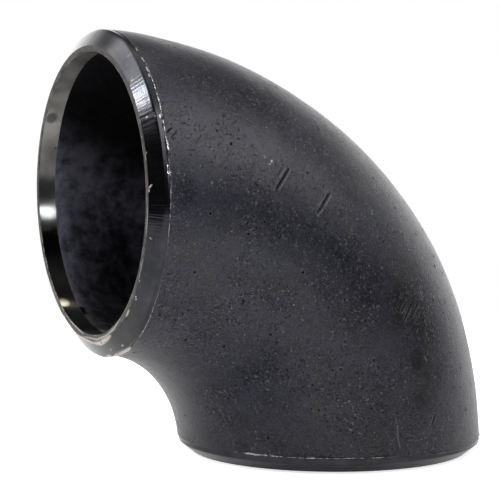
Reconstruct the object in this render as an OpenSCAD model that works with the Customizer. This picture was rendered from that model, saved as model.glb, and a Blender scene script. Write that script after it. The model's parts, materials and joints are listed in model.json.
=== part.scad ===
// Butt-welding 90 degree elbow, short radius pattern, 3 inch (DN 80), schedule 40.
// One seamless piece of black carbon steel tube, bent through a quarter turn. Each end is
// bored true for a short depth, bevelled for a pipe to be welded on, and turned true on the
// outside in a narrow band behind the bevel.
//
// The origin is the centre of the lower weld face. The lower end looks down (-Z), the tube
// rises from it and bends towards -X, and the mouth looks along -X. The tube's centreline
// lies in the plane y = 0.

/* [Tube] */
// Outside diameter of the tube, the same as the pipe's
outside_diameter = 88.9; // [80:0.1:100]
// Wall of the formed tube between the bored ends, a little over the pipe's wall
formed_wall = 5.9; // [5.6:0.1:7.5]
// Distance from each weld face to the centreline of the other end
centre_to_end = 76.2; // [70:0.1:180]

/* [Weld ends] */
// Wall left at each end by the bore, equal to the pipe's wall
end_wall = 5.49; // [4.4:0.01:5.5]
// Depth of the true bore behind each weld face
bore_depth = 5.2; // [3:0.1:8]
// Angle at which the bore runs out into the formed wall, from the end's axis
runout_angle = 30; // [20:1:40]
// Width of the flat root face left at the foot of the bevel
root_face = 1.6; // [0.8:0.1:2.4]
// Slope of the weld bevel, from the plane of the weld face
bevel_angle = 37.5; // [30:0.5:40]
// How far behind each weld face the outside is turned true
band_depth = 4.5; // [4.5:0.1:8]
// How far the turned band lies below the tube's outside, on the radius
band_allowance = 0.15; // [0.1:0.05:0.3]

/* [Hidden] */
$fn = 96;
steel_black = [0.17, 0.17, 0.19];
outer_radius = outside_diameter / 2;
formed_radius = outer_radius - formed_wall;
bore_radius = outer_radius - end_wall;
land_radius = bore_radius + root_face;
quarter_turn = 90;
// Every cutting tool starts this far outside the weld face.
overrun = 2;
// How far inside the formed wall the run-out cone's small end lies.
runout_margin = 0.6;
runout_depth = (bore_radius - formed_radius + runout_margin) / tan(runout_angle);
// The outside tools are larger than the tube by this much all round, so that they still
// clear the steel on the inside of the bend, where the tube leans outwards.
tool_margin = 1.2;
tool_radius = outer_radius + 3 * tool_margin;
bevel_slope = tan(bevel_angle);
tool_depth = (outer_radius + tool_margin - land_radius) * bevel_slope;

// Quarter of a ring-shaped tube. It starts at the origin, rises and ends facing -X.
module formed_tube() {
    translate([-centre_to_end, 0, 0])
        rotate([90, 0, 0])
            rotate_extrude(angle = quarter_turn)
                translate([centre_to_end, 0])
                    difference() {
                        circle(r = outer_radius);
                        circle(r = formed_radius);
                    }
}

// True bore along +Z with a short cone that runs out into the formed wall.
module bore_cutter() {
    union() {
        translate([0, 0, -overrun])
            cylinder(r = bore_radius, h = overrun + bore_depth);
        translate([0, 0, bore_depth])
            cylinder(
                r1 = bore_radius,
                r2 = bore_radius - runout_depth * tan(runout_angle),
                h = runout_depth
            );
    }
}

// Ring that turns the band behind the bevel.
module band_cutter() {
    difference() {
        translate([0, 0, -overrun])
            cylinder(r = tool_radius, h = overrun + band_depth);
        translate([0, 0, -2 * overrun])
            cylinder(r = outer_radius - band_allowance, h = band_depth + 3 * overrun);
    }
}

// Ring with a conical inside, which leaves the weld bevel and the root face.
module bevel_cutter() {
    difference() {
        translate([0, 0, -overrun])
            cylinder(r = tool_radius, h = overrun + tool_depth);
        translate([0, 0, -2 * overrun])
            cylinder(
                r1 = land_radius - 2 * overrun / bevel_slope,
                r2 = land_radius + (tool_depth + overrun) / bevel_slope,
                h = tool_depth + 3 * overrun
            );
    }
}

// The cuts of one weld end, with the end's axis on Z and the steel above z = 0.
module weld_end_cutters() {
    bore_cutter();
    bevel_cutter();
    band_cutter();
}

module elbow_body() {
    color(steel_black)
        difference() {
            formed_tube();
            weld_end_cutters();
            translate([-centre_to_end, 0, centre_to_end])
                rotate([0, 90, 0])
                    weld_end_cutters();
        }
}

elbow_body();
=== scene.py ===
"""Looks of the butt-weld pipe elbow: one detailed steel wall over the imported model, its
materials, studio and camera. Lengths are metres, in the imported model's own frame, unless a name
or a comment says millimetres."""

import itertools
import json
import math

import bmesh
import bpy
import numpy as np
from mathutils import Matrix, Vector


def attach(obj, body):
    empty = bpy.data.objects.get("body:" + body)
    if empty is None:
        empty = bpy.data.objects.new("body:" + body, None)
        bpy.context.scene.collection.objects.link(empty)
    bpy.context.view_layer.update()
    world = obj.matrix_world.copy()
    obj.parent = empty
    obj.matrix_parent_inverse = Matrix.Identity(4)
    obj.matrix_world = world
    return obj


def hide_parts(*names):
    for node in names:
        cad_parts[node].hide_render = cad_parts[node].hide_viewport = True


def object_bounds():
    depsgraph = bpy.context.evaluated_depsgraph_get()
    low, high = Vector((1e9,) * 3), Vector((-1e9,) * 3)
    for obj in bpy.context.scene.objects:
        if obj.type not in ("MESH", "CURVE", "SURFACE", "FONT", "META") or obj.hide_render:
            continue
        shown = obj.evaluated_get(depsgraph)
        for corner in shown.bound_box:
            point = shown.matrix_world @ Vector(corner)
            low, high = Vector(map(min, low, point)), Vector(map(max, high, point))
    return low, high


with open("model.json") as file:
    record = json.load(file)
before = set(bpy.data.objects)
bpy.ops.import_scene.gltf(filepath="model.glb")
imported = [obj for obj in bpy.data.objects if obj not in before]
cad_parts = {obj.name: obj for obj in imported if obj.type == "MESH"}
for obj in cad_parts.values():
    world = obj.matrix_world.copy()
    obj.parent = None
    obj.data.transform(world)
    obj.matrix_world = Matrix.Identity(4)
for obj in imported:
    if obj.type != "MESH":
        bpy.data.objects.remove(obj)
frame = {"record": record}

MM = 0.001
FULL_TURN = 2 * math.pi
QUARTER = math.pi / 2


def corners():
    """Lowest and highest corner of what shows, as plain lists."""
    return [list(corner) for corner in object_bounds()]


cad_box = corners()

# ---------------- sizes, from the frame
MOUNTS = {mount["name"]: mount for mount in frame["record"]["mounts"]}
BEND = MOUNTS["mouth_bore"]["pos_m"][2]
BORE = MOUNTS["lower_bore"]["dims"]["r_mm"] * MM
BORE_DEPTH = MOUNTS["lower_bore"]["dims"]["length_mm"] * MM
# The weld face's mount is on the middle of the root face.
ROOT_FACE = 2 * (MOUNTS["lower_weld_face"]["pos_m"][0] - BORE)
LAND = BORE + ROOT_FACE
OUTER = (cad_box[1][1] - cad_box[0][1]) / 2
FORMED_WALL = 5.9 * MM
INNER = OUTER - FORMED_WALL
# The outside is turned true behind each bevel, a little below the tube's outside.
BAND_ALLOWANCE = 0.15 * MM
BAND = OUTER - BAND_ALLOWANCE
BAND_DEPTH = 4.5 * MM
BEVEL_SLOPE = math.tan(math.radians(37.5))
RUNOUT_SLOPE = math.tan(math.radians(30))

# ---------------- where the real one is untrue
# Humps, each with its middle and spread in degrees and its height in millimetres. The mouth is
# fuller at its top and at its bottom. The outside of the bend is fuller low down, and flatter
# near the mouth. One hump each makes the turned bands end sooner or later.
MOUTH_SWELL = [(0, 48, 0.75), (190, 40, 1.15)]
BEND_SWELL = [(27, 13, 0.50), (62, 9, -0.28)]
MOUTH_BAND_SWELL = (28, 22, 0.5)
LOWER_BAND_SWELL = (62, 22, -0.8)
# How far back from the mouth its swell reaches.
SWELL_REACH = 6.5 * MM
# Humps of how heavy the mouth's burr is, from 0 to 1.
MOUTH_BURR = [(80, 14, 1.0), (56, 18, 0.45)]

# ---------------- how fine the mesh is
COLUMNS = 360
SKIN_ROWS = 104
INSIDE_ROWS = 26
BAND_ROWS = 3
BEVEL_ROWS = 6
BORE_ROWS = 5
REFINE_CUTS = 2
# How far the sharp edges are broken, the bevel's foot wanders and the root face is uneven.
EDGE_BREAK = 0.14 * MM
FOOT_WANDER = 0.05 * MM
ROOT_UNEVEN = 0.035 * MM

# Strips of the wall, each with a material of its own.
SKIN, BAND_STRIP, BEVEL, ROOT, BORED, SCALE = range(6)

# ---------------- marks of handling
# Places are (bend, round) in degrees: bend runs from the lower end to the mouth, and round
# runs round the tube from the outside of the bend. Other lengths are millimetres.
# Gouges: half width, depth, height of the raised lip, and the two ends.
GOUGES = [
    (0.46, 0.42, 0.16, (64.2, 68.0), (65.6, 77.6)),
    (0.26, 0.24, 0.08, (65.2, 68.3), (66.4, 74.8)),
    (0.20, 0.14, 0.05, (66.9, 73.8), (66.6, 77.2)),
    (0.48, 0.46, 0.16, (55.4, 66.6), (56.1, 76.6)),
    (0.42, 0.44, 0.10, (30.6, 69.0), (28.9, 77.2)),
    (0.36, 0.40, 0.08, (29.6, 67.2), (28.3, 73.9)),
    (0.42, 0.34, 0.08, (31.5, 70.8), (30.6, 76.4)),
    (0.34, 0.30, 0.08, (86.0, 65.6), (87.0, 67.6)),
    (0.28, 0.24, 0.08, (85.2, 66.6), (86.4, 69.4)),
    (0.24, 0.18, 0.05, (81.2, 67.6), (81.9, 70.4)),
    (0.28, 0.18, 0.08, (59.6, 37.0), (59.3, 42.8)),
    (0.34, 0.28, 0.10, (10.1, 75.2), (8.2, 78.0)),
]
# Hairline scratches: half width, depth, and the points they pass.
HAIRLINES = [
    (0.13, 0.05, (50.0, 102.7), (45.8, 103.6), (41.7, 103.8), (36.5, 103.4), (31.8, 102.4)),
    (0.12, 0.04, (71.5, 101.0), (68.8, 103.2), (66.5, 104.0)),
]
# Scratches rubbed down to bare steel, all of one depth: half width, bareness, and the points
# they pass.
RUBBED_DEPTH = 0.02
RUBBED = [
    (0.16, 1.0, (67.5, 67.4), (67.9, 70.0)),
    (0.14, 0.6, (69.3, 67.0), (68.8, 68.2)),
    (0.20, 0.8, (66.4, 66.4), (66.5, 67.0)),
    (0.30, 0.16, (12.0, 92.9), (9.8, 92.8), (7.7, 93.3), (4.8, 92.5)),
    (0.20, 0.25, (25.0, 69.4), (23.5, 69.5)),
    (0.20, 0.20, (20.9, 74.1), (19.4, 73.9)),
    (0.20, 0.30, (31.0, 62.6), (29.2, 63.1)),
]
# Larger pits and pale flecks in view, each a place.
PITS = [
    (82.1, 56.5), (71.8, 56.5), (66.2, 90.2), (62.2, 88.6), (61.2, 90.8), (77.1, 113.5),
    (81.0, 118.0), (37.2, 89.7), (40.9, 92.7), (42.2, 99.0), (28.4, 109.7), (27.7, 107.0),
    (19.3, 119.4), (39.7, 90.4), (34.5, 69.6), (37.8, 98.6), (25.8, 94.8), (30.8, 44.3),
]
FLECKS = [
    (68.5, 75.8), (78.5, 82.7), (75.9, 81.7), (76.4, 67.7), (78.8, 68.5), (76.6, 70.0),
    (79.0, 71.1), (57.1, 59.3), (38.0, 83.2), (39.4, 73.6), (27.7, 116.7), (24.8, 115.6),
    (41.6, 128.2), (47.7, 79.8), (45.1, 116.4), (44.2, 108.7), (55.9, 77.4),
]
# Bare and chalky patches on the mouth's bevel: half width, and the points that each passes, as
# the angle round the tube in degrees and the part of the way across: below 0 on the root face,
# 0 at the bevel's foot, 1 at its top and 2 at the back of the turned band.
CHIPS = [
    (0.34, (86.2, 0.02), (85.6, 0.12), (84.9, 0.24)),
    (0.40, (87.6, 0.02), (86.4, 0.06)),
    (0.30, (60.2, 0.44), (60.4, 0.44)),
    (0.16, (61.2, 0.90), (61.4, 0.90)),
    (0.50, (60.9, 1.72), (62.2, 1.75)),
    (0.34, (43.8, 1.80), (45.2, 1.72)),
    (0.13, (103.6, 0.18), (104.5, 0.34)),
    (0.30, (84.8, 0.19), (85.4, 0.15)),
    (0.20, (73.0, 0.02), (73.4, 0.06)),
    (0.18, (121.6, 0.02), (122.6, 0.08)),
    (0.14, (128.4, 0.05), (131.1, 0.22)),
    (0.22, (136.4, 0.02), (141.0, 0.03)),
    (0.20, (155.7, 0.82), (157.2, 0.80)),
    (0.26, (165.8, 0.56), (166.8, 0.70)),
    (1.30, (155.5, 1.85), (159.5, 1.80), (164.0, 1.60), (169.0, 1.35)),
    (1.20, (169.0, 1.35), (174.5, 1.05)),
    (0.95, (158.0, 0.02), (164.1, 0.06), (171.0, 0.18), (177.0, 0.18)),
    (0.90, (177.0, 0.18), (183.0, 0.06), (192.0, 0.12)),
    (0.85, (192.0, 0.12), (201.0, 0.08), (211.0, 0.10), (222.0, 0.04), (233.0, 0.02)),
    (0.22, (28.6, 1.90), (31.0, 1.82)),
    (0.20, (34.8, 1.78), (37.2, 1.90)),
    (0.26, (40.2, 1.75), (42.8, 1.85)),
    (0.60, (186.0, -0.20), (198.0, -0.35), (212.0, -0.45), (228.0, -0.50), (243.0, -0.45)),
    (0.45, (146.0, -0.30), (154.0, -0.18), (162.0, -0.12), (172.0, -0.06), (186.0, -0.08)),
    (0.22, (73.0, -0.10), (76.0, -0.08)),
    (0.24, (92.0, -0.12), (98.0, -0.08), (104.0, -0.12)),
    (0.20, (112.0, -0.06), (117.8, -0.10), (122.0, -0.06)),
]
# Lumps of the burr at the mouth and at the lower end: angle round the tube in degrees, and
# height. Each spreads over LUMP_SPREAD degrees.
LUMP_SPREAD = 0.9
MOUTH_LUMPS = [(61.5, 0.35), (74.5, 0.55), (77.5, 0.3), (83.0, 0.6), (85.5, 0.35), (102.0, 0.3)]
LOWER_LUMPS = [(22.0, 0.4), (27.5, 0.5), (33.5, 0.35), (41.0, 0.45), (97.0, 0.35), (121.0, 0.4)]
# Dark stains in the mouth's bore: angle round the tube in degrees, depth and half width.
BORE_STAINS = [(302.3, 1.9, 2.3), (288.0, 4.6, 0.5), (247.0, 1.2, 0.45), (120.0, 2.0, 0.8)]
# The lower half of the mouth's bore is painted black, a painted reflection of the dark that it
# faces. The painted dark deepens between two heights above the lower weld face, and leaves out
# one spot, where a lamp's glint falls: angle round the tube in degrees, depth and radius.
DARK_REFLECTION_TOP = 68.5 * MM
DARK_REFLECTION_FULL = 62.5 * MM
GLINT_SPOT = (214.6, 1.0, 1.9)
# Olive-brown grime on the skin: bend and round in degrees, and size in millimetres.
GRIME = [
    (32.3, 73.7, 5.0), (29.8, 71.1, 4.5), (30.2, 79.0, 3.5), (26.6, 71.6, 4.3), (23.6, 74.0, 4.5),
    (20.3, 78.6, 4.4), (17.2, 78.2, 3.6), (13.8, 80.6, 3.6), (68.0, 312.0, 6.0), (35.0, 255.0, 5.0),
]
# A patch of painted shade that darkens and dulls the skin low on the inside of the bend, in
# the same units.
SHADE_PATCH = (35.0, 141.0, 17.0)
# How many marks lie in random places, all over the skin or on its hidden half.
RANDOM_PITS = 150
RANDOM_FLECKS = 90
HIDDEN_STROKES = 16
# Round in degrees past which the camera doesn't see the skin, and the span of the bend in which
# random marks lie.
HIDDEN_FROM = 190
MARKED_BEND = (6, 84)

# ---------------- noise for mesh work


# What turns a lattice cell's place into a hash, and the highest value that a hash can have.
CELL_PRIMES = (73856093, 19349663, 83492791)
SCATTER = ((13, 1274126177), (15, 668265263))
HASH_TOP = 0x7FFFFFFF


def lattice_noise(points, size, seed):
    """Smooth noise from -1 to 1 whose features are about size across. Each corner of a lattice
    gets a value from a hash of its cell, and the eight corners round a point are blended."""
    points = np.asarray(points) / size + seed * 7.31
    cell = np.floor(points).astype(np.int64)
    part = points - cell
    fade = part ** 3 * (part * (part * 6 - 15) + 10)
    total = np.zeros(points.shape[:-1])
    for corner in itertools.product((0, 1), repeat=3):
        mixed = np.bitwise_xor.reduce((cell + corner) * CELL_PRIMES, axis=-1)
        for shift, factor in SCATTER:
            mixed = ((mixed ^ (mixed >> shift)) & HASH_TOP) * factor & HASH_TOP
        weight = np.prod(np.where(corner, fade, 1 - fade), axis=-1)
        total += weight * (2 * mixed / HASH_TOP - 1)
    return total


def smooth_step(value, low, high):
    """0 below low, 1 above high, and a smooth rise between them."""
    part = np.clip((value - low) / (high - low), 0, 1)
    return part * part * (3 - 2 * part)


def blend(first, last, part):
    """A part of the way from first to last."""
    return first + (last - first) * part


def bump(value, middle, width):
    """A smooth hump of height 1 at middle."""
    return np.exp(-((value - middle) / width) ** 2)


def humps(angle, shapes):
    """Sum of smooth humps at an angle in radians, from their middles, spreads and heights."""
    total = 0 * angle
    for middle, spread, height in shapes:
        gap = (np.degrees(angle) - middle + 180) % 360 - 180
        total = total + height * bump(gap, 0, spread)
    return total


def noise_ring(around):
    """Points of a circle as large as the tube, for noise that depends on the angle alone."""
    return np.stack([np.cos(around), np.sin(around), 0 * around], -1) * OUTER


# ---------------- surfaces of the elbow


def tube_point(turn, around, radius):
    """A point of the bent tube, from its angles in radians and its distance from the
    tube's centreline."""
    reach = BEND + radius * np.cos(around)
    return np.stack(
        [reach * np.cos(turn) - BEND, -radius * np.sin(around), reach * np.sin(turn)], -1
    )


def tube_place(point):
    """The inverse of tube_point."""
    reach = np.hypot(point[..., 2], point[..., 0] + BEND) - BEND
    turn = np.arctan2(point[..., 2], point[..., 0] + BEND)
    return turn, np.arctan2(-point[..., 1], reach), np.hypot(point[..., 1], reach)


def end_point(at_mouth, around, radius, depth):
    """A point near one end: its distance from the end's axis, and its depth behind the face."""
    across = radius * np.cos(around)
    side = -radius * np.sin(around)
    depth = depth + 0 * across
    if at_mouth:
        return np.stack([depth - BEND, side, across + BEND], -1)
    return np.stack([across, side, depth], -1)


def end_place(at_mouth, point):
    """The inverse of end_point."""
    across = point[..., 2] - BEND if at_mouth else point[..., 0]
    depth = point[..., 0] + BEND if at_mouth else point[..., 2]
    return np.arctan2(-point[..., 1], across), np.hypot(point[..., 1], across), depth


def skin_radius(turn, around):
    """Radius of the outer skin, with the unevenness that forming and scale leave."""
    point = tube_point(turn, around, OUTER)
    outside = smooth_step(np.cos(around), 0.2, 0.95)
    from_mouth = np.maximum((QUARTER - turn) * BEND - BAND_DEPTH, 0)
    swell = humps(around, MOUTH_SWELL) * bump(from_mouth, 0, SWELL_REACH)
    swell = swell + humps(turn, BEND_SWELL) * outside
    waves = 0.09 * lattice_noise(point, 26 * MM, 1) + 0.045 * lattice_noise(point, 9 * MM, 2)
    grain = 0.018 * lattice_noise(point, 3.2 * MM, 3)
    return OUTER + (swell + waves + grain - 0.05) * MM


def inside_radius(turn, around):
    """Radius of the scaly inside, which is smoother near the bores."""
    point = tube_point(turn, around, INNER)
    lumps = 0.14 * lattice_noise(point, 12 * MM, 5) + 0.12 * lattice_noise(point, 4.5 * MM, 6)
    from_end = np.minimum(turn, QUARTER - turn) * BEND
    return INNER + lumps * MM * smooth_step(from_end, 4 * MM, 12 * MM)


def bore_keeps(radius, depth):
    """True outside the true bore and the cone in which it runs out."""
    return radius >= BORE - np.maximum(depth - BORE_DEPTH, 0) * RUNOUT_SLOPE


def band_radius(at_mouth, around):
    """Radius of the turned band."""
    return BAND + humps(around, MOUTH_SWELL if at_mouth else []) * MM


def band_depth(at_mouth, around):
    """How far behind the face the outside is turned true."""
    ring = noise_ring(around)
    wander = 0.07 * lattice_noise(ring, 4 * MM, 61) + 0.16 * lattice_noise(ring, 22 * MM, 62)
    middle, spread, height = MOUTH_BAND_SWELL if at_mouth else LOWER_BAND_SWELL
    swell = height * bump(np.degrees(around), middle, spread)
    return BAND_DEPTH + (wander + swell) * MM


def turn_at_cut(at_mouth, around, surface, keeps):
    """The bend angle, for each column, at which an end's cut leaves a surface. The cut keeps
    what lies at some radius and depth of the end."""
    low = np.zeros_like(around)
    high = np.full_like(around, math.radians(12))
    for _ in range(36):
        middle = (low + high) / 2
        turn = QUARTER - middle if at_mouth else middle
        point = tube_point(turn, around, surface(turn, around))
        _, radius, depth = end_place(at_mouth, point)
        kept = keeps(radius, depth)
        high = np.where(kept, middle, high)
        low = np.where(kept, low, middle)
    return QUARTER - high if at_mouth else high


def burr_strength(at_mouth, around):
    """How heavy the burr is, from 0 to 1: heaviest on the viewer's side of the mouth."""
    seed = 25 if at_mouth else 35
    patchy = smooth_step(lattice_noise(noise_ring(around), 12 * MM, seed), -0.5, 0.7)
    if not at_mouth:
        return 0.8 * patchy
    return np.clip(0.2 * patchy + humps(around, MOUTH_BURR), 0, 1)


def burr_height(at_mouth, around):
    """Ragged lip of metal that the cutter pushed up along the turned band's back edge."""
    ring = noise_ring(around)
    seed = 21 if at_mouth else 31
    ragged = lattice_noise(ring, 1.7 * MM, seed) + 0.6 * lattice_noise(ring, 7 * MM, seed + 1)
    tallest = 0.24 if at_mouth else 0.6
    height = smooth_step(ragged, -0.1, 1.3) * tallest * burr_strength(at_mouth, around)
    lumps = MOUTH_LUMPS if at_mouth else LOWER_LUMPS
    height = height + humps(around, [(angle, LUMP_SPREAD, lump) for angle, lump in lumps])
    return height * MM


# ---------------- the wall, ring by ring
# Height of each strip in the texture, which is laid out as one tall sheet.
SHEET = {"foot": 0.02, "skin": (0.05, 0.66), "inside": (0.755, 0.91)}
MOUTH_SHEET = (0.664, 0.676, 0.702, 0.717, 0.745)
LOWER_SHEET = (1.0, 0.992, 0.976, 0.962, 0.935)


def weld_end_strip(at_mouth, around, edge, sheet):
    """Turned band, bevel, root face and bore of one end: rings from the skin's edge inwards,
    each with its height in the texture and the material of the strip that follows it."""
    seed = 40 if at_mouth else 50
    edge_around, _, edge_depth = end_place(at_mouth, edge)
    swing = (edge_around - around + math.pi) % FULL_TURN - math.pi
    ring = end_point(at_mouth, around, LAND, 0)
    ragged = FOOT_WANDER * lattice_noise(ring, 1.5 * MM, seed)
    rough = ROOT_UNEVEN * (1 + lattice_noise(ring, 1.1 * MM, seed + 1))
    strip = []
    band = band_radius(at_mouth, around)
    top = (band - LAND) * BEVEL_SLOPE + 0.5 * EDGE_BREAK
    for part in np.linspace(0, 1, BAND_ROWS + 1):
        turned = around + swing * (1 - part)
        point = end_point(at_mouth, turned, band, blend(edge_depth, top, part))
        strip.append((point, blend(sheet[0], sheet[1], part), BAND_STRIP))
    strip[-1] = (*strip[-1][:2], BEVEL)
    for part in np.linspace(0.015, 0.96, BEVEL_ROWS):
        radius = blend(band, LAND, part)
        point = end_point(at_mouth, around, radius, (radius - LAND) * BEVEL_SLOPE)
        strip.append((point, blend(sheet[1], sheet[2], part), BEVEL))
    foot = end_point(at_mouth, around, LAND + 0.6 * EDGE_BREAK + ragged, 0.45 * EDGE_BREAK)
    strip.append((foot, sheet[2], ROOT))
    for part in (0.12, 0.4, 0.7, 0.94):
        radius = blend(LAND + ragged, BORE, part)
        point = end_point(at_mouth, around, radius, rough * math.sin(math.pi * part))
        strip.append((point, blend(sheet[2], sheet[3], part), ROOT))
    for part in np.linspace(0, 1, BORE_ROWS + 1):
        point = end_point(at_mouth, around, BORE, blend(EDGE_BREAK, BORE_DEPTH, part))
        strip.append((point, blend(sheet[3], sheet[4], part), BORED))
    strip[-1] = (*strip[-1][:2], SCALE)
    return strip


def reversed_strip(strip):
    """The same rings in the other order, each again with the material that follows it."""
    points, heights, materials = zip(*strip)
    return list(zip(points[::-1], heights[::-1], (*materials[:-1][::-1], BAND_STRIP)))


def wall_rings(around, start, stop):
    """Every ring of the closed wall: skin, mouth end, inside, lower end."""
    rings = []
    # The rings stand close together at the skin's edges, where the burr is.
    near_edge = np.array([0, 0.002, 0.005, 0.010, 0.017])
    middle = np.linspace(0.025, 0.975, SKIN_ROWS)
    for part in np.concatenate([near_edge, middle, 1 - near_edge[::-1]]):
        turn = blend(start, stop, part)
        fade_low = smooth_step(-part, -near_edge[2], 0)
        fade_high = smooth_step(part, 1 - near_edge[2], 1)
        lip = burr_height(False, around) * fade_low + burr_height(True, around) * fade_high
        point = tube_point(turn, around, skin_radius(turn, around) + lip)
        rings.append((point, blend(*SHEET["skin"], part), BAND_STRIP if part == 1 else SKIN))
    mouth_edge = tube_point(stop, around, skin_radius(stop, around))
    rings += weld_end_strip(True, around, mouth_edge, MOUTH_SHEET)
    near = turn_at_cut(True, around, inside_radius, bore_keeps)
    far = turn_at_cut(False, around, inside_radius, bore_keeps)
    for part in np.linspace(0, 1, INSIDE_ROWS):
        turn = blend(near, far, part)
        point = tube_point(turn, around, inside_radius(turn, around))
        rings.append((point, blend(*SHEET["inside"], part), SCALE))
    lower_edge = tube_point(start, around, skin_radius(start, around))
    lower_end = weld_end_strip(False, around, lower_edge, LOWER_SHEET)
    return rings + reversed_strip(lower_end)


def wall_mesh(rings):
    """One closed mesh from the rings, with its own texture layout."""
    faces, places, materials = [], [], []
    for row, (_, low, material) in enumerate(rings):
        above = (row + 1) % len(rings)
        high = rings[above][1]
        if above == 0:
            low = SHEET["foot"]
        for column in range(COLUMNS):
            right = (column + 1) % COLUMNS
            faces.append((row * COLUMNS + column, above * COLUMNS + column,
                          above * COLUMNS + right, row * COLUMNS + right))
            left_side, right_side = column / COLUMNS, (column + 1) / COLUMNS
            places += [(left_side, low), (left_side, high), (right_side, high), (right_side, low)]
            materials.append(material)
    mesh = bpy.data.meshes.new("elbow_wall")
    mesh.from_pydata(np.concatenate([ring[0] for ring in rings]).tolist(), [], faces)
    mesh.polygons.foreach_set("material_index", materials)
    layer = mesh.uv_layers.new(name="OFBake")
    layer.uv.foreach_set("vector", np.array(places, dtype=np.float32).ravel())
    return mesh


# ---------------- marks on the skin


def skin_spot(place):
    """The point of the skin at a place in degrees."""
    turn, around = np.radians(place)
    return tube_point(turn, around, skin_radius(turn, around))


def bevel_spot(place):
    """A point of the mouth's bevel or of the turned band behind it, from a place of CHIPS."""
    around, part = math.radians(place[0]), place[1]
    radius = LAND + (band_radius(True, around) - LAND) * min(part, 1)
    top = max(radius - LAND, 0) * BEVEL_SLOPE
    behind = (band_depth(True, around) - top) * max(part - 1, 0)
    return end_point(True, around, radius, top + behind)


def random_place(random, hidden):
    """A place with an even chance all over the skin, or over its hidden half."""
    while True:
        bend, around = random.uniform(*MARKED_BEND), random.uniform(0, 360)
        reach = BEND + OUTER * math.cos(math.radians(around))
        if random.uniform(0, BEND + OUTER) < reach and (around > HIDDEN_FROM or not hidden):
            return bend, around


def all_strokes():
    """Every stroke on the skin: half width, depth, lip and bareness, and its points."""
    strokes = [(width, depth, lip, 0.0, list(map(skin_spot, path)))
               for width, depth, lip, *path in GOUGES]
    strokes += [(width, depth, 0.0, 0.0, list(map(skin_spot, path)))
                for width, depth, *path in HAIRLINES]
    strokes += [(width, RUBBED_DEPTH, 0.0, bareness, list(map(skin_spot, path)))
                for width, bareness, *path in RUBBED]
    strokes += [(width, 0.0, 0.0, 1.0, list(map(bevel_spot, path))) for width, *path in CHIPS]
    random = np.random.default_rng(5)
    for index in range(HIDDEN_STROKES):
        bend, around = random_place(random, True)
        slant = random.uniform(-1.5, 1.5)
        length = random.uniform(3, 11)
        width = random.uniform(0.16, 0.34)
        depth = random.uniform(0.08, 0.3)
        bare = 1.0 if index % 4 == 3 else 0.0
        ends = [skin_spot((bend, around)), skin_spot((bend + slant, around + length))]
        strokes.append((width, depth * (1 - bare), depth / 3, bare, ends))
    return strokes


def all_dots(places, extra, seed, smallest, largest):
    """Points and radii in millimetres of pits or flecks: those in view and random ones."""
    random = np.random.default_rng(seed)
    dots = [(skin_spot(place), random.uniform(0.8 * largest, 1.2 * largest)) for place in places]
    for _ in range(extra):
        radius = random.uniform(smallest, largest)
        dots.append((skin_spot(random_place(random, False)), radius))
    return dots


def bore_stains():
    """Points and radii in millimetres of the stains."""
    return [(end_point(True, math.radians(angle), BORE, depth * MM), size)
            for angle, depth, size in BORE_STAINS]


def vertex_points(mesh):
    """Every vertex of a mesh, as an array."""
    points = np.empty(len(mesh.vertices) * 3)
    mesh.vertices.foreach_get("co", points)
    return points.reshape(-1, 3)


def gap_from(spot, points):
    """Distance in millimetres of each point from one spot."""
    return np.linalg.norm(points - spot, axis=1) / MM


def along_stroke(points, path):
    """Distance in millimetres of each point from a path, and the part of the path nearest."""
    best = np.full(len(points), np.inf)
    part = np.zeros(len(points))
    count = len(path) - 1
    for index in range(count):
        step = path[index + 1] - path[index]
        share = np.clip((points - path[index]) @ step / (step @ step), 0, 1)
        gap = np.linalg.norm(points - path[index] - share[:, None] * step, axis=1) / MM
        nearer = gap < best
        best = np.where(nearer, gap, best)
        part = np.where(nearer, (index + share) / count, part)
    return best, part


def refine_near(mesh, strokes, dots):
    """Divides the faces near the marks, so that a mark has real shape."""
    build = bmesh.new()
    build.from_mesh(mesh)
    build.faces.ensure_lookup_table()
    skin = [face for face in build.faces if face.material_index < SCALE]
    middles = np.array([face.calc_center_median() for face in skin])
    chosen = np.zeros(len(skin), dtype=bool)
    for width, *_, path in strokes:
        chosen |= along_stroke(middles, path)[0] < 2.2 * width + 0.7
    for spot, radius in dots:
        chosen |= gap_from(spot, middles) < 1.3 * radius + 0.55
    edges = {edge for face, near in zip(skin, chosen) if near for edge in face.edges}
    edges = sorted(edges, key=lambda edge: edge.index)
    bmesh.ops.subdivide_edges(build, edges=edges, cuts=REFINE_CUTS, use_grid_fill=True)
    build.to_mesh(mesh)
    build.free()


def add_value(mesh, name, values):
    """Gives every vertex a number that the materials read by name."""
    layer = mesh.attributes.new(name, "FLOAT", "POINT")
    layer.data.foreach_set("value", np.asarray(values, dtype=np.float32))


def skin_vertices(mesh):
    """True for each vertex of the skin's faces."""
    on_skin = np.zeros(len(mesh.vertices), dtype=bool)
    for polygon in mesh.polygons:
        if polygon.material_index == SKIN:
            on_skin[list(polygon.vertices)] = True
    return on_skin


def press_strokes(points, strokes, lift, sunk, bare, pale):
    """Adds the strokes to what the marks do to each point."""
    for width, depth, lip, bareness, path in strokes:
        gap, part = along_stroke(points, path)
        taper = np.sqrt(np.clip(5 * part * (1 - part), 0.04, 1))
        hollow = 1 - smooth_step(gap, 0.25 * width * taper, 1.05 * width * taper)
        ridge = lip * taper * bump(gap, 1.5 * width, 0.45 * width)
        lift += ridge - depth * taper * hollow
        # Painted highlight: the gouge's raised lip is painted pale.
        np.maximum(pale, 5.5 * ridge, out=pale)
        np.maximum(sunk, hollow * min(1, 2.4 * depth) * (1 - bareness), out=sunk)
        np.maximum(bare, hollow * bareness, out=bare)


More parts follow.
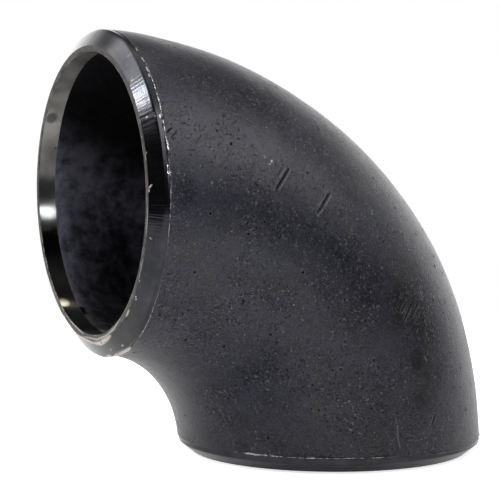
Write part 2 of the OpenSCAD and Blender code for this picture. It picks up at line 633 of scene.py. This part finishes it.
def press_dots(points, pits, flecks, lift, sunk, pale):
    """Adds the pits, the flecks and the bore's stains, which have no depth."""
    for spot, size in pits:
        gap = gap_from(spot, points)
        hollow = 1 - smooth_step(gap, 0.3 * size, size)
        rim = bump(gap, 1.3 * size, 0.3 * size)
        lift += 0.07 * rim - 0.5 * size * hollow
        np.maximum(sunk, 0.8 * hollow, out=sunk)
        # Painted highlight: the pit's rim is painted pale.
        np.maximum(pale, 0.15 * rim, out=pale)
    for spot, size in flecks:
        heap = 1 - smooth_step(gap_from(spot, points), 0.35 * size, size)
        lift += 0.1 * heap
        np.maximum(pale, heap, out=pale)
    for spot, size in bore_stains():
        np.maximum(sunk, 1 - smooth_step(gap_from(spot, points), 0.5 * size, size), out=sunk)


def press_marks(mesh, strokes, pits, flecks):
    """Presses the marks into the skin, and gives every vertex three values from 0 to 1: how
    deep in a mark it is, how bare its steel is, and how much pale deposit or painted highlight it
    carries. The painted highlight lies on the raised lips of gouges and the rims of pits."""
    points = vertex_points(mesh)
    lift, sunk, bare, pale = np.zeros((4, len(points)))
    press_strokes(points, strokes, lift, sunk, bare, pale)
    press_dots(points, pits, flecks, lift, sunk, pale)
    turn, around, radius = tube_place(points)
    marked = tube_point(turn, around, radius + lift * MM)
    points = np.where(skin_vertices(mesh)[:, None], marked, points)
    mesh.vertices.foreach_set("co", points.ravel())
    mesh.update()
    add_value(mesh, "sunk", sunk)
    add_value(mesh, "bare", bare)
    add_value(mesh, "pale", pale)


# ---------------- values for the materials


# What the ring value's Z is raised by at the mouth, so that materials can tell the ends apart.
MOUTH_MARK = 0.5


def add_places(mesh, start, stop):
    """Gives every vertex its place. edge_mm is the distance from the nearer end's shoulder, where
    the turned band meets the skin, and rim_mm the distance out from its bore. grime is 1 in the
    middle of a smudge, and the painted-shade value is 1 in the middle of the patch of painted
    shade. burr is how torn the shoulder's edge is. ring is a point on the circle round the nearer
    end's root face, with the depth behind the face as its Z."""
    points = vertex_points(mesh)
    turn, around, _ = tube_place(points)
    at_mouth = turn > QUARTER / 2
    places = [end_place(end, points) for end in (False, True)]
    end_around, end_radius, depth = [np.where(at_mouth, high, low) for low, high in zip(*places)]
    columns = np.arange(COLUMNS + 1) * FULL_TURN / COLUMNS
    first, last = [np.interp(around % FULL_TURN, columns, np.append(turns, turns[0]))
                   for turns in (start, stop)]
    edge_turn = np.where(at_mouth, last, first)
    reach = np.hypot(points[:, 2], points[:, 0] + BEND)
    on_skin = reach * np.abs(edge_turn - turn)
    edge_depth = np.where(at_mouth, band_depth(True, around), band_depth(False, around))
    beyond = np.where(at_mouth, turn > edge_turn, turn < edge_turn)
    add_value(mesh, "edge_mm", np.where(beyond, edge_depth - depth, on_skin) / MM)
    add_value(mesh, "rim_mm", (end_radius - BORE) / MM)
    grime = np.zeros(len(points))
    for *place, size in GRIME:
        grime = np.maximum(grime, bump(gap_from(skin_spot(place), points), 0, size))
    add_value(mesh, "grime", grime)
    # A patch of painted shade low on the inside of the bend.
    *place, size = SHADE_PATCH
    add_value(mesh, "film", bump(gap_from(skin_spot(place), points), 0, size))
    burr = [burr_strength(end, around) for end in (False, True)]
    add_value(mesh, "burr", np.where(at_mouth, burr[1], burr[0]))
    layer = mesh.attributes.new("ring", "FLOAT_VECTOR", "POINT")
    ring = [LAND * np.cos(end_around), LAND * np.sin(end_around), depth + MOUTH_MARK * at_mouth]
    layer.data.foreach_set("vector", np.stack(ring, -1).astype(np.float32).ravel())


def make_elbow():
    """The whole fitting, with its marks and the values that its materials read."""
    around = np.arange(COLUMNS) * FULL_TURN / COLUMNS
    start, stop = [
        turn_at_cut(end, around, skin_radius, lambda _, depth: depth > band_depth(end, around))
        for end in (False, True)
    ]
    mesh = wall_mesh(wall_rings(around, start, stop))
    strokes = all_strokes()
    pits = all_dots(PITS, RANDOM_PITS, seed=11, smallest=0.25, largest=0.45)
    flecks = all_dots(FLECKS, RANDOM_FLECKS, seed=12, smallest=0.2, largest=0.38)
    refine_near(mesh, strokes, pits + flecks + bore_stains())
    press_marks(mesh, strokes, pits, flecks)
    add_places(mesh, start, stop)
    mesh.shade_smooth()
    build = bmesh.new()
    build.from_mesh(mesh)
    for edge in build.edges:
        edge.smooth = len({face.material_index for face in edge.link_faces}) == 1
    build.to_mesh(mesh)
    build.free()
    elbow = bpy.data.objects.new("elbow", mesh)
    bpy.context.scene.collection.objects.link(elbow)
    return elbow


elbow = make_elbow()
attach(elbow, "root")
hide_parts("elbow_body")

# ---------------- building materials


class Nodes:
    """The nodes of a material or a world, with a short call for each kind that it needs. A value
    given to a call is a number, a vector, a colour or another node's output."""

    def __init__(self, owner, shader="Principled BSDF"):
        owner.use_nodes = True
        self.owner = owner
        self.tree = owner.node_tree
        self.shader = self.tree.nodes[shader]
        self.coordinates = self.node("TexCoord")
        self.place = self.coordinates["Object"]

    def put(self, socket, value):
        if isinstance(value, bpy.types.NodeSocket):
            self.tree.links.new(value, socket)
        elif isinstance(value, tuple) and len(value) == 3 and socket.type == "RGBA":
            socket.default_value = (*value, 1)
        else:
            socket.default_value = value

    def node(self, kind, values=(), **settings):
        """Outputs of a new node. Its inputs' values come in order, or in a dict by name."""
        node = self.tree.nodes.new("ShaderNode" + kind)
        for name, setting in settings.items():
            setattr(node, name, setting)
        for key, value in values.items() if isinstance(values, dict) else enumerate(values):
            self.put(node.inputs[key], value)
        return node.outputs

    def shade(self, **values):
        """Sets the shader's sockets, named with underscores for spaces."""
        for name, value in values.items():
            self.put(self.shader.inputs[name.replace("_", " ")], value)

    def attribute(self, name, output="Fac"):
        return self.node("Attribute", attribute_name=name)[output]

    def axes(self, vector):
        return self.node("SeparateXYZ", [vector])

    def math(self, operation, *values):
        return self.node("Math", values, operation=operation)[0]

    def plus(self, *values):
        total = values[0]
        for value in values[1:]:
            total = self.math("ADD", total, value)
        return total

    def times(self, first, second):
        return self.math("MULTIPLY", first, second)

    def larger(self, first, second):
        return self.math("MAXIMUM", first, second)

    def stretched(self, vector, sizes, shift=(0, 0, 0)):
        """The vector measured in units of its own along each axis."""
        scale = [1 / size for size in sizes]
        return self.node("Mapping", {"Vector": vector, "Location": shift, "Scale": scale})[0]

    def noise(self, size, detail, roughness, seed, vector=None):
        """Noise about 0.5, with features about size across."""
        values = {"Vector": vector or self.place, "W": seed, "Scale": 1 / size,
                  "Detail": detail, "Roughness": roughness}
        return self.node("TexNoise", values, noise_dimensions="4D")["Fac"]

    def dots(self, size, radius, share, seed):
        """1 in small round dots and 0 between them. The dots are about size apart, and share
        is the part of their places that holds one."""
        shifted = self.stretched(self.place, (1, 1, 1), (seed, 0, 0))
        cells = self.node("TexVoronoi", {"Vector": shifted, "Scale": 1 / size})
        random = self.node("SeparateColor", [cells["Color"]])
        least = 0.6 * radius * MM / size
        gap = self.math("DIVIDE", cells["Distance"], self.span(random[1], least, 2 * least))
        gap = self.times(gap, self.span(self.noise(0.5 * MM, 1, 0.5, 24), 0.4, 1.6))
        here = self.math("LESS_THAN", random[0], share)
        return self.times(self.step(gap, 1.0, 0.6), here)

    def step(self, value, low, high):
        """0 at low, 1 at high, and a smooth rise between them."""
        values = {"Value": value, "From Min": low, "From Max": high}
        return self.node("MapRange", values, interpolation_type="SMOOTHSTEP")[0]

    def span(self, value, low, high):
        """Carries a value between 0 and 1 to the span from low to high."""
        return self.math("MULTIPLY_ADD", value, high - low, low)

    def mix(self, share, first, second):
        """The first colour where share is 0, and the second where it is 1."""
        return self.node("Mix", {0: share, 6: first, 7: second}, data_type="RGBA")[2]

    def end_axis(self):
        """The axis of the nearer end."""
        depth = self.axes(self.attribute("ring", "Vector"))["Z"]
        along_x = self.math("GREATER_THAN", depth, MOUTH_MARK / 2)
        along_z = self.math("LESS_THAN", depth, MOUTH_MARK / 2)
        return self.node("CombineXYZ", {"X": along_x, "Z": along_z})[0]

    def relief(self, height):
        """A normal from a height in millimetres."""
        return self.node("Bump", {"Height": height, "Distance": MM})[0]


# Colours in linear light. A pair is the darkest and the palest of a cloudy one.
BARE_STEEL = (0.46, 0.45, 0.44)
OXIDE = (0.0024, 0.0025, 0.0062), (0.0112, 0.0117, 0.0262)
OLIVE_OXIDE = (0.014, 0.014, 0.011)
DUST = (0.130, 0.130, 0.122)
SPECK = (0.24, 0.24, 0.22)
# Painted highlight round the pinholes.
PAINTED_RIM_HIGHLIGHT = (0.055, 0.055, 0.055)
# Pale deposit of the flecks, also a painted highlight on gouge lips and pit rims.
DEPOSIT_AND_HIGHLIGHT = (0.20, 0.20, 0.18)
GREASE = (0.006, 0.006, 0.003)
SHADOW = (0.002, 0.002, 0.0025)
BAND_STEEL = (0.016, 0.017, 0.022), (0.036, 0.037, 0.044)
BEVEL_STEEL = (0.017, 0.018, 0.023), (0.038, 0.038, 0.045)
GROOVE_STEEL = (0.13, 0.13, 0.135)
RUST = (0.10, 0.08, 0.055)
CHALK = (0.55, 0.49, 0.46)
ROOT_STEEL = (0.030, 0.028, 0.028), (0.085, 0.078, 0.072)
WORN_RIM = (0.34, 0.31, 0.29)
ROOT_CHALK = (0.46, 0.43, 0.40)
BORED_STEEL = (0.33, 0.32, 0.31), (0.58, 0.56, 0.54)
STAIN = (0.03, 0.03, 0.035)
# Painted dark reflection on the lower half of the mouth's bore.
PAINTED_DARK_REFLECTION = (0.010, 0.010, 0.011)
SCALE_CLOUD = (0.013, 0.013, 0.017), (0.140, 0.140, 0.180)
# Painted shade deep in the inside and at its top.
DEEP_SHADE = (0.0006, 0.0006, 0.0008)
# Darker low down in the inside.
LOW_DARK = (0.004, 0.004, 0.003)
CRUST = (0.05, 0.05, 0.055)


def bare_edge(build, widest):
    """1 on the ragged bright line along the turned band's back edge, and 0 elsewhere."""
    ring = build.attribute("ring", "Vector")
    ragged = build.step(build.noise(1.3 * MM, 3, 0.7, 5, ring), 0.34, 0.72)
    width = build.times(build.times(build.attribute("burr"), widest), ragged)
    beyond = build.math("SUBTRACT", build.attribute("edge_mm"), width)
    return build.step(beyond, 0.02, -0.08)


def pinholes(build, crowd, fine, coarse):
    """1 in dots of two sizes, given as radii in millimetres, with more of them where crowd is 1."""
    small = build.dots(1.3 * MM, fine, build.span(crowd, 0.15, 0.6), 0.3)
    large = build.dots(3.4 * MM, coarse, build.span(crowd, 0.1, 0.5), 0.7)
    return build.larger(small, large)


def skin_material():
    """Blue-black oxide and old paint over pipe steel: cloudy, sandy, finely pitted, with specks.
    Where a dark colour is metallic it is dull, for it has next to no shine."""
    build = Nodes(bpy.data.materials.new("black_skin"))
    cloud = build.noise(20 * MM, 3, 0.55, 1)
    patch = build.noise(4.5 * MM, 4, 0.6, 2)
    sand = build.noise(0.6 * MM, 4, 0.8, 3)
    tone = build.plus(build.times(cloud, 0.17), build.times(patch, 0.18), build.times(sand, 0.65))
    colour = build.mix(build.step(tone, 0.38, 0.62), *OXIDE)
    olive = build.step(build.noise(11 * MM, 3, 0.6, 6), 0.56, 0.68)
    colour = build.mix(build.times(olive, 0.6), colour, OLIVE_OXIDE)
    crowd = build.step(build.noise(14 * MM, 2, 0.5, 8), 0.36, 0.62)
    pocks = build.step(build.noise(1.0 * MM, 2, 0.6, 21), 0.60, 0.70)
    pocks = build.times(pocks, build.span(crowd, 0.35, 1.0))
    dots = pinholes(build, crowd, 0.24, 0.42)
    rim_highlights = pinholes(build, crowd, 0.40, 0.62)
    pitted = build.larger(dots, build.attribute("sunk"))
    dust = build.step(build.noise(0.75 * MM, 2, 0.65, 22), 0.58, 0.68)
    dust = build.times(dust, build.span(crowd, 0.25, 1.0))
    specks = build.dots(2.8 * MM, 0.25, build.span(crowd, 0.08, 0.42), 0.9)
    colour = build.mix(build.times(dust, 0.65), colour, DUST)
    colour = build.mix(build.times(specks, 0.7), colour, SPECK)
    # Painted highlight: a paler ring round each pinhole.
    colour = build.mix(build.times(rim_highlights, 0.4), colour, PAINTED_RIM_HIGHLIGHT)
    # Pale deposit of the flecks, and painted highlight on gouge lips and pit rims.
    pale = build.times(build.attribute("pale"), build.span(sand, 0.1, 0.9))
    colour = build.mix(pale, colour, DEPOSIT_AND_HIGHLIGHT)
    grime = build.times(build.attribute("grime"), build.step(patch, 0.30, 0.60))
    colour = build.mix(build.times(grime, 0.8), colour, GREASE)
    hollow = build.larger(build.times(pitted, 0.95), build.times(pocks, 0.88))
    colour = build.mix(hollow, colour, SHADOW)
    grit = build.step(build.noise(0.9 * MM, 2, 0.6, 25), 0.30, 0.50)
    bare = build.times(build.attribute("bare"), grit)
    bare = build.larger(bare_edge(build, 0.60), bare)
    colour = build.mix(bare, colour, BARE_STEEL)
    # Dull patches at random, and the patch of painted shade, darken the skin and its shine.
    dull_and_shade = build.times(build.step(tone, 0.55, 0.43), build.span(crowd, 0.27, 0.47))
    dull_and_shade = build.plus(dull_and_shade, build.times(build.attribute("film"), 0.40))
    height = build.plus(build.times(patch, 0.14), build.times(sand, 0.08),
                        build.times(pocks, -0.15), build.times(dots, -0.16),
                        build.times(dust, 0.09))
    rough = build.plus(build.span(patch, 0.25, 0.40), build.times(pitted, 0.4))
    rough = build.math("MULTIPLY_ADD", bare, -0.1, rough)
    metal = build.larger(build.larger(bare, hollow), build.larger(dull_and_shade, build.times(grime, 0.62)))
    build.shade(Base_Color=colour, Roughness=rough, Metallic=metal, Normal=build.relief(height))
    return build.owner


def turned_lines(build, pitch, wander, detail):
    """Noise drawn out round the end into the fine grooves that a cutter leaves."""
    ring = build.attribute("ring", "Vector")
    return build.noise(1, detail, 0.7, 7, build.stretched(ring, (wander, wander, pitch)))


def turned_material(name, steel, chatter_depth):
    """Turned steel, tarnished dark, with chatter marks across it, and a bright ragged burr along
    the turned band's back edge."""
    build = Nodes(bpy.data.materials.new(name))
    lines = turned_lines(build, 0.16 * MM, 30 * MM, 3)
    ring = build.attribute("ring", "Vector")
    chatter = build.noise(1, 1, 0.5, 8, build.stretched(ring, (0.65 * MM, 0.65 * MM, 8 * MM)))
    stain = build.noise(7 * MM, 4, 0.65, 9)
    colour = build.mix(build.step(stain, 0.35, 0.65), *steel)
    colour = build.mix(build.times(lines, 0.3), colour, GROOVE_STEEL)
    rust = build.times(build.step(build.noise(5 * MM, 3, 0.6, 10), 0.62, 0.72), 0.6)
    colour = build.mix(rust, colour, RUST)
    ragged = build.step(build.noise(0.9 * MM, 3, 0.6, 11), 0.33, 0.47)
    chalk = build.times(build.attribute("bare"), ragged)
    bare = bare_edge(build, 0.42)
    colour = build.mix(bare, colour, BARE_STEEL)
    colour = build.mix(chalk, colour, CHALK)
    height = build.plus(build.times(lines, 0.022), build.times(chatter, chatter_depth))
    rough = build.plus(build.span(stain, 0.13, 0.25), build.times(chalk, 0.3))
    metal = build.math("MULTIPLY_ADD", chalk, -0.8, 1.0)
    build.shade(Base_Color=colour, Roughness=rough, Metallic=metal, Normal=build.relief(height))
    return build.owner


def root_material():
    """The narrow flat face at the bevel's foot: dull and rough, with a bright worn rim at the
    bore and pale deposits."""
    build = Nodes(bpy.data.materials.new("root_face"))
    wear = build.noise(2.2 * MM, 4, 0.65, 12)
    grain = build.noise(0.4 * MM, 2, 0.6, 13)
    colour = build.mix(build.step(wear, 0.38, 0.62), *ROOT_STEEL)
    worn = build.times(build.step(wear, 0.42, 0.62), build.step(build.attribute("rim_mm"), 0.5, 0.1))
    colour = build.mix(build.times(worn, 0.5), colour, WORN_RIM)
    chalk = build.step(build.noise(1.3 * MM, 3, 0.65, 14), 0.62, 0.70)
    chalk = build.larger(chalk, build.attribute("bare"))
    colour = build.mix(build.times(chalk, 0.8), colour, ROOT_CHALK)
    height = build.plus(build.times(wear, 0.10), build.times(grain, 0.03))
    rough = build.span(wear, 0.35, 0.6)
    build.shade(Base_Color=colour, Roughness=rough, Metallic=0.7, Normal=build.relief(height))
    return build.owner


def bored_material():
    """The true bore: a bright turned band, finely grooved, with a few dark stains. The lower half
    of the mouth's is painted black, a painted dark reflection, but for one spot where a lamp's
    glint falls."""
    build = Nodes(bpy.data.materials.new("bored_band"))
    lines = turned_lines(build, 0.13 * MM, 60 * MM, 0)
    cloud = build.noise(9 * MM, 3, 0.6, 15)
    colour = build.mix(build.step(cloud, 0.35, 0.65), *BORED_STEEL)
    spots = build.times(build.attribute("sunk"), 0.75)
    colour = build.mix(spots, colour, STAIN)
    patch = build.noise(2.4 * MM, 3, 0.6, 16)
    place = build.axes(build.place)
    at_mouth = build.math("LESS_THAN", place["X"], 1.1 * BORE_DEPTH - BEND)
    ragged = build.plus(place["Z"], build.span(patch, -2 * MM, 2 * MM))
    # Painted dark reflection: the lower half of the mouth's bore is painted black, with a ragged edge.
    painted_dark = build.times(build.step(ragged, DARK_REFLECTION_TOP, DARK_REFLECTION_FULL), at_mouth)
    angle, depth, radius = GLINT_SPOT
    spot = end_point(True, math.radians(angle), BORE, depth * MM)
    gap = build.node("VectorMath", [build.place, spot], operation="DISTANCE")["Value"]
    painted_dark = build.times(painted_dark, build.step(gap, 0.5 * radius * MM, 1.3 * radius * MM))
    colour = build.mix(build.times(painted_dark, 0.96), colour, PAINTED_DARK_REFLECTION)
    rough = build.plus(build.span(cloud, 0.26, 0.32), build.times(spots, 0.2))
    height = build.times(lines, 0.006)
    build.shade(Base_Color=colour, Roughness=rough, Metallic=1.0, Normal=build.relief(height))
    build.shade(Anisotropic=1.0, Tangent=build.end_axis())
    return build.owner


def scale_material():
    """Thick blue-black scale on the formed inside, with painted shade deep inside and at the top,
    and darker low down."""
    build = Nodes(bpy.data.materials.new("inside_scale"))
    cloud = build.noise(16 * MM, 3, 0.55, 17)
    patch = build.noise(3.5 * MM, 4, 0.65, 18)
    tone = build.plus(build.times(cloud, 0.45), build.times(patch, 0.55))
    colour = build.mix(build.step(tone, 0.36, 0.66), *SCALE_CLOUD)
    place = build.axes(build.place)
    # Painted shade: darker deep inside and towards the top, by place alone.
    high = build.plus(place["Z"], build.times(place["X"], 0.45))
    deep_shade = build.step(high, 0.046, 0.068)
    colour = build.mix(build.times(deep_shade, 0.97), colour, DEEP_SHADE)
    # Darker towards the bottom, by height alone.
    darker_low = build.step(place["Z"], 0.058, 0.042)
    colour = build.mix(build.times(darker_low, 0.5), colour, LOW_DARK)
    crust = build.step(build.noise(1.1 * MM, 3, 0.7, 19), 0.62, 0.74)
    colour = build.mix(build.times(crust, 0.35), colour, CRUST)
    height = build.plus(build.times(patch, 0.28), build.times(crust, 0.05))
    rough = build.span(patch, 0.6, 0.9)
    build.shade(Base_Color=colour, Roughness=rough, Normal=build.relief(height))
    build.shade(Specular_IOR_Level=0.05)
    return build.owner


for material in (
    skin_material(),
    turned_material("turned_band", BAND_STEEL, chatter_depth=0.026),
    turned_material("turned_bevel", BEVEL_STEEL, chatter_depth=0.048),
    root_material(),
    bored_material(),
    scale_material(),
):
    elbow.data.materials.append(material)

# ---------------- camera
# Azimuth 0 looks at the elbow from -Y, and a negative one from further to the left.
AZIMUTH = math.radians(-27.06)
ELEVATION = math.radians(3.85)
ROLL = math.radians(0.16)
CAMERA_PLACE = Vector((-268.1, -473.5, 95.0)) * MM
LENS = 133.1
SENSOR = 36


def toward(azimuth, elevation):
    """Direction from the object at an azimuth and an elevation in radians."""
    level = math.cos(elevation)
    return Vector((math.sin(azimuth) * level, -math.cos(azimuth) * level, math.sin(elevation)))


def make_camera():
    """The camera at the photograph's place and angle, without depth of field."""
    data = bpy.data.cameras.new("camera")
    data.lens = LENS
    data.sensor_width = SENSOR
    data.clip_start = 0.01
    data.clip_end = 50
    camera = bpy.data.objects.new("camera", data)
    back = toward(AZIMUTH, ELEVATION)
    right = Vector((math.cos(AZIMUTH), math.sin(AZIMUTH), 0))
    up = back.cross(right)
    rolled_right = right * math.cos(ROLL) + up * math.sin(ROLL)
    rolled_up = up * math.cos(ROLL) - right * math.sin(ROLL)
    turned = Matrix((rolled_right, rolled_up, back)).transposed().to_4x4()
    camera.matrix_world = Matrix.Translation(CAMERA_PLACE) @ turned
    bpy.context.scene.collection.objects.link(camera)
    bpy.context.scene.camera = camera


make_camera()

# ---------------- floor and light
CENTRE = Vector((-BEND / 2, 0, BEND / 2))
MOUTH_CENTRE = Vector((-BEND, 0, BEND))


def make_table():
    """A round white table that glows a little, as a light table does. It lies a hair below the
    lower weld face."""
    radius = 0.40
    count = 96
    mesh = bpy.data.meshes.new("table")
    turns = [FULL_TURN * step / count for step in range(count)]
    rim = [(radius * math.cos(turn), radius * math.sin(turn), 0) for turn in turns]
    mesh.from_pydata(rim, [], [tuple(range(count))])
    table = bpy.data.objects.new("table", mesh)
    table.location = (CENTRE.x, CENTRE.y, -0.05 * MM)
    bpy.context.scene.collection.objects.link(table)
    build = Nodes(bpy.data.materials.new("table"))
    cloud = build.noise(0.4, 3, 0.5, 30)
    build.shade(Base_Color=build.mix(cloud, (0.86, 0.86, 0.86), (0.90, 0.90, 0.90)))
    build.shade(Roughness=0.8, Specular_IOR_Level=0.2)
    glow = build.span(build.node("LightPath")["Is Camera Ray"], 0.30, 0.72)
    build.shade(Emission_Color=(1.0, 1.0, 1.0), Emission_Strength=glow)
    mesh.materials.append(build.owner)


def softbox(name, azimuth, elevation, distance, width, height, strength, tint=(1, 1, 1),
            aim=CENTRE, spread=180):
    """A flat lamp that faces the object. Strength is its radiance, and spread is the angle in
    degrees over which it shines. A lamp keeps its power when its spread is narrowed and grows
    brighter for it, so its power is cut by as much."""
    data = bpy.data.lights.new(name, "AREA")
    data.shape = "RECTANGLE"
    data.size = width
    data.size_y = height
    half = math.radians(spread) / 2
    beam = 1 - half / math.tan(half)
    data.energy = strength * math.pi * width * height * beam
    data.color = tint
    data.spread = math.radians(spread)
    lamp = bpy.data.objects.new(name, data)
    away = toward(math.radians(azimuth), math.radians(elevation))
    lamp.location = aim + away * distance
    lamp.rotation_euler = away.to_track_quat("Z", "Y").to_euler()
    bpy.context.scene.collection.objects.link(lamp)


def make_world(room, backdrop, ceiling):
    """White to the camera. As light it is a dim room with a low bright backdrop round the back
    and sides, and a bright ceiling."""
    world = bpy.data.worlds.new("studio")
    bpy.context.scene.world = world
    build = Nodes(world, "Background")
    direction = build.coordinates["Generated"]
    height = build.axes(direction)["Z"]
    behind = (-math.sin(AZIMUTH), math.cos(AZIMUTH), 0)
    away = build.node("VectorMath", [direction, behind], operation="DOT_PRODUCT")["Value"]
    round_back = build.times(build.step(away, 0.25, 0.70), backdrop)
    low_down = build.step(height, 0.60, 0.25)
    overhead = build.span(build.step(height, 0.70, 0.92), room, ceiling)
    above_table = build.step(height, -0.12, -0.02)
    light = build.times(build.plus(build.times(round_back, low_down), overhead), above_table)
    to_camera = build.node("LightPath")["Is Camera Ray"]
    build.shade(Color=(1.0, 1.0, 1.0), Strength=build.node("Mix", {0: to_camera, 2: light, 3: 1.0})[0])


make_table()
make_world(room=0.05, backdrop=1.65, ceiling=1.2)
softbox("key_left", -104, 36.5, distance=3.0, width=0.46, height=0.42, strength=42.0)
softbox("left_back", -132, 37, distance=1.5, width=0.9, height=0.7, strength=3.5)
softbox("right", 45, 38, distance=1.2, width=0.8, height=0.75, strength=3.1)
# Two narrow beams on the mouth make the highlights in its bore.
softbox("front", -5, 16.5, distance=1.3, width=0.11, height=0.06, strength=560.0,
        tint=(0.90, 0.96, 1.0), aim=MOUTH_CENTRE, spread=8)
softbox("warm", -153, 74.4, distance=2.0, width=0.12, height=0.12, strength=640.0,
        tint=(1.0, 0.92, 0.66), aim=MOUTH_CENTRE, spread=5)
bpy.context.scene.view_settings.view_transform = "Standard"
